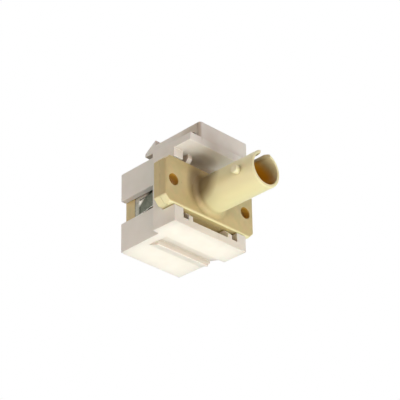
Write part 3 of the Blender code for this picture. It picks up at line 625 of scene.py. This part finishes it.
def beige_plastic(name, roughest):
    """Beige plastic, with a painted deep-brown shade inside the bore and the holes."""
    material, tree = new_material(name)
    shader = tree.nodes["Principled BSDF"]
    colour = blend_colours(
        tree, spread(tree, grain(tree, 0.0013, 2.0), 0.4, 0.62), BEIGE, BEIGE_GREENISH
    )
    pinkish = times(tree, spread(tree, grain(tree, 0.0010, 1.0, (1.0, 1.0, 1.3)), 0.5, 0.7), 0.6)
    colour = blend_colours(tree, pinkish, colour, BEIGE_PINKISH)
    where = add_node(tree, "ShaderNodeTexCoord")
    axes = add_node(tree, "ShaderNodeSeparateXYZ")
    tree.links.new(where.outputs["Object"], axes.inputs["Vector"])
    # Painted light: a lighter beige on the barrel ahead of the flange, on the flange's underside strip
    # and on its lower corners.
    ahead = spread(tree, axes.outputs["Y"], FLANGE_FRONT - 0.0002, FLANGE_FRONT - 0.0016)
    bottom = FIBRE_Z - FLANGE_HEIGHT / 2
    underneath = spread(tree, axes.outputs["Z"], bottom + UNDERSIDE_START, bottom + UNDERSIDE_END)
    colour = blend_colours(tree, ahead, colour, BEIGE_PAINTED_LIGHT)
    bare = add_node(tree, "ShaderNodeMath", operation="MAXIMUM")
    rim = FLANGE_FRONT + SEAM_SIDE_Y
    tree.links.new(spread(tree, axes.outputs["Y"], rim, rim - 0.0002), bare.inputs[0])
    apart = add_node(tree, "ShaderNodeMath", operation="ABSOLUTE")
    tree.links.new(axes.outputs["X"], apart.inputs[0])
    tree.links.new(spread(tree, apart.outputs[0], BARE_END_X, BARE_END_X + 0.0003), bare.inputs[1])
    colour = blend_colours(tree, times(tree, underneath, bare.outputs[0]), colour, BEIGE_PAINTED_LIGHT)
    for side in (-1.0, 1.0):
        corner = add_node(tree, "ShaderNodeMath", operation="MULTIPLY_ADD")
        tree.links.new(axes.outputs["X"], corner.inputs[0])
        corner.inputs[1].default_value = side
        tree.links.new(times(tree, axes.outputs["Z"], -1.0), corner.inputs[2])
        cut = FLANGE_WIDTH / 2 + FLANGE_HEIGHT / 2 - FLANGE_CORNER - FIBRE_Z
        on_corner = spread(tree, corner.outputs[0], cut - 0.0003, cut - 0.00005)
        colour = blend_colours(tree, on_corner, colour, BEIGE_PAINTED_LIGHT)
    foot = mark(tree, FOOT_SHADE_PLACE, FOOT_SHADE_REACH)
    colour = blend_colours(tree, times(tree, foot, 0.8), colour, FOOT_SHADE)
    # The lugs' tips are a paler beige.
    on_lug = spread(tree, axes.outputs["Y"], PALE_TIP_Y, PALE_TIP_Y - 0.0002)
    on_lug = times(tree, on_lug, spread(tree, apart.outputs[0], PALE_TIP_X, PALE_TIP_X + 0.0004))
    colour = blend_colours(tree, on_lug, colour, BEIGE_PALE_LUG_TIP)
    turned, edges = soft_edges(tree, BEIGE_WEAR_AND_HIGHLIGHT_RADIUS)
    # Edges are lighter: wear, and a painted highlight where the rounded edges catch the light.
    edge_wear_and_highlight = times(tree, edges, spread(tree, grain(tree, 0.0008), 0.3, 0.55))
    colour = blend_colours(tree, times(tree, edge_wear_and_highlight, 0.8), colour, BEIGE_WEAR_AND_HIGHLIGHT)
    # Painted shade in the beige's corners and pockets.
    colour = shade_corners(tree, colour, BEIGE_CORNER_SHADE, 0.0060, 0.40)
    # Painted shade: deep brown inside the bore and the screw holes, beginning a little way in.
    slant = add_node(tree, "ShaderNodeMath", operation="MULTIPLY_ADD")
    tree.links.new(axes.outputs["Z"], slant.inputs[0])
    slant.inputs[1].default_value = -HOLE_SHADE_LEAN
    tree.links.new(axes.outputs["Y"], slant.inputs[2])
    start = BARREL_TIP - HOLE_SHADE_LEAN * FIBRE_Z + HOLE_SHADE_START
    deep = spread(tree, slant.outputs[0], start, start + HOLE_SHADE_LENGTH)
    for x, radius in (
        (0.0, BORE_SHADE_RADIUS),
        (-SCREW_X, SCREW_HOLE_SHADE_RADIUS),
        (SCREW_X, SCREW_HOLE_SHADE_RADIUS),
    ):
        inside = times(tree, near_axis(tree, x, radius, HOLE_SHADE_FADE), deep)
        colour = blend_colours(tree, inside, colour, BEIGE_HOLE_SHADE)
    tree.links.new(colour, shader.inputs["Base Color"])
    gloss = spread(tree, grain(tree, 0.0004, 3.0), 0.3, 0.7, roughest - 0.10, roughest)
    tree.links.new(gloss, shader.inputs["Roughness"])
    raise_grain(tree, grain(tree, 0.00022, 2.0), 0.000006, 0.45, turned)
    shader.inputs["IOR"].default_value = 1.5
    shader.inputs["Subsurface Weight"].default_value = 0.08
    shader.inputs["Subsurface Scale"].default_value = 0.0004
    return material, tree, shader


material, tree, shader = beige_plastic("beige_moulded_plastic", 0.40)
colour = shader.inputs["Base Color"].links[0].from_socket
for place, half_sizes, turn, share in (
    ((-0.00708, FLANGE_FRONT, 0.00875), (0.00011, 0.0002, 0.00009), 0.0, 0.7),
    ((-0.0046, FLANGE_FRONT, 0.0086), (0.00005, 0.0002, 0.0003), 0.5, 0.45),
    ((-0.0047, FLANGE_FRONT, 0.0094), (0.00004, 0.0002, 0.00035), 0.9, 0.4),
    ((-0.0061, FLANGE_FRONT, 0.0113), (0.00005, 0.0002, 0.00022), -0.6, 0.35),
    ((0.0066, FLANGE_FRONT, 0.0061), (0.00008, 0.0002, 0.00007), 0.0, 0.45),
):
    spot = times(tree, mark(tree, place, half_sizes, (0.0, turn, 0.0)), share)
    colour = blend_colours(tree, spot, colour, BEIGE_DIRT)
tree.links.new(colour, shader.inputs["Base Color"])
bayonet_half.data.materials.append(material)
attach(bayonet_half, "root")
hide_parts("adapter_front_half")

# Socket half
# The rear half of the adapter, welded to the front half in the middle of the flange: the rear plate and
# the rectangular body, with the recess for the clip and the plug's opening with its keyway.
socket_half = dressed_copy("adapter_rear_half", "socket_half")
bpy.ops.object.shade_smooth_by_angle(angle=math.radians(30))
material, tree, shader = beige_plastic("beige_socket_plastic", 0.46)
socket_half.data.materials.append(material)
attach(socket_half, "root")
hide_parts("adapter_rear_half")

# Latch insert
# The plate with two hooked arms and the rear tube for the sleeve, in a darker and duller beige.
INSERT_BEIGE = (0.66, 0.52, 0.27, 1)
INSERT_SHADE = (0.58, 0.45, 0.22, 1)
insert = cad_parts["sc_latch_insert"]
material, tree = new_material("satin_insert_plastic")
shader = tree.nodes["Principled BSDF"]
mottle = spread(tree, grain(tree, 0.0011, 3.0), 0.35, 0.65)
tree.links.new(blend_colours(tree, mottle, INSERT_BEIGE, INSERT_SHADE), shader.inputs["Base Color"])
satin = spread(tree, grain(tree, 0.0004, 3.0), 0.3, 0.7, 0.42, 0.55)
tree.links.new(satin, shader.inputs["Roughness"])
raise_grain(tree, grain(tree, 0.0002, 2.0), 0.000006, 0.5)
insert.data.materials.clear()
insert.data.materials.append(material)

# Alignment sleeve
# A strip of bronze rolled into a split tube, with the fine lines of the rolling along it.
BRONZE = (0.62, 0.40, 0.22, 1)
BRONZE_DULL = (0.46, 0.29, 0.15, 1)
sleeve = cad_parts["alignment_sleeve"]
material, tree = new_material("rolled_bronze")
shader = tree.nodes["Principled BSDF"]
streaks = spread(tree, grain(tree, 0.00012, 3.0, (1.0, 30.0, 1.0)), 0.35, 0.65)
tree.links.new(blend_colours(tree, streaks, BRONZE, BRONZE_DULL), shader.inputs["Base Color"])
shader.inputs["Metallic"].default_value = 1.0
tree.links.new(spread(tree, streaks, 0.0, 1.0, 0.24, 0.38), shader.inputs["Roughness"])
raise_grain(tree, grain(tree, 0.00008, 2.0, (1.0, 40.0, 1.0)), 0.000003, 0.5)
sleeve.data.materials.clear()
sleeve.data.materials.append(material)

# Retaining clip
# A channel of rolled spring steel round the body's sides and underside. Each side has a tab bent
# outwards. Its faces are painted as bright and as dark as they look in the photograph.
STEEL = (0.78, 0.74, 0.67, 1)
STEEL_LINE = (0.62, 0.585, 0.53, 1)
STEEL_ROOT_SHADE = (0.26, 0.25, 0.21, 1)
STEEL_TAB_DARK_REFLECTION = (0.070, 0.072, 0.052, 1)
STEEL_TAB_DARK_REFLECTION_LINE = (0.050, 0.052, 0.037, 1)
STEEL_SLOT_SHADOW = (0.012, 0.011, 0.008, 1)
BEND_SLOPE = 0.692
BEND_LINE = 0.016836
ROOT_Y = 0.01105
ROOT_Z = 0.0102
TAB_LOW = 0.00747
SLOT_LOW = 0.00730
clip = dressed_copy("retaining_clip", "steel_clip")
bpy.ops.object.shade_smooth_by_angle(angle=math.radians(30))
material, tree = new_material("rolled_spring_steel")
shader = tree.nodes["Principled BSDF"]
streaks = spread(tree, grain(tree, 0.00010, 3.0, (1.0, 25.0, 1.0)), 0.35, 0.65)
bright = blend_colours(tree, streaks, STEEL, STEEL_LINE)
# Painted dark reflection on the bent tabs.
dark_reflection = blend_colours(tree, streaks, STEEL_TAB_DARK_REFLECTION, STEEL_TAB_DARK_REFLECTION_LINE)
where = add_node(tree, "ShaderNodeTexCoord")
axes = add_node(tree, "ShaderNodeSeparateXYZ")
tree.links.new(where.outputs["Object"], axes.inputs["Vector"])
leaning = add_node(tree, "ShaderNodeMath", operation="MULTIPLY_ADD")
tree.links.new(axes.outputs["Y"], leaning.inputs[0])
leaning.inputs[1].default_value = BEND_SLOPE
tree.links.new(axes.outputs["Z"], leaning.inputs[2])
bent = spread(tree, leaning.outputs[0], BEND_LINE + 0.0004, BEND_LINE - 0.0004)
on_tab = times(tree, bent, spread(tree, axes.outputs["Z"], TAB_LOW - 0.00004, TAB_LOW + 0.00004))
colour = blend_colours(tree, on_tab, bright, dark_reflection)
# Painted shade on the strip at the tab's root.
at_root = times(
    tree,
    spread(tree, axes.outputs["Y"], ROOT_Y - 0.0002, ROOT_Y + 0.0002),
    spread(tree, axes.outputs["Z"], ROOT_Z + 0.0004, ROOT_Z - 0.0002),
)
colour = blend_colours(tree, at_root, colour, STEEL_ROOT_SHADE)
# Painted shadow below the tab's slot.
below = spread(tree, axes.outputs["Z"], SLOT_LOW + 0.00003, SLOT_LOW - 0.00003)
below = times(tree, below, spread(tree, axes.outputs["Y"], ROOT_Y + 0.0002, ROOT_Y - 0.0002))
colour = blend_colours(tree, below, colour, STEEL_SLOT_SHADOW)
tree.links.new(colour, shader.inputs["Base Color"])
shader.inputs["Metallic"].default_value = 1.0
tree.links.new(spread(tree, streaks, 0.0, 1.0, 0.26, 0.40), shader.inputs["Roughness"])
turned, edges = soft_edges(tree, 0.00006)
raise_grain(tree, grain(tree, 0.00007, 2.0, (1.0, 30.0, 1.0)), 0.000003, 0.5, turned)
clip.data.materials.append(material)
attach(clip, "root")
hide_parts("retaining_clip")

scene.view_settings.view_transform = "Standard"

low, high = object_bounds()
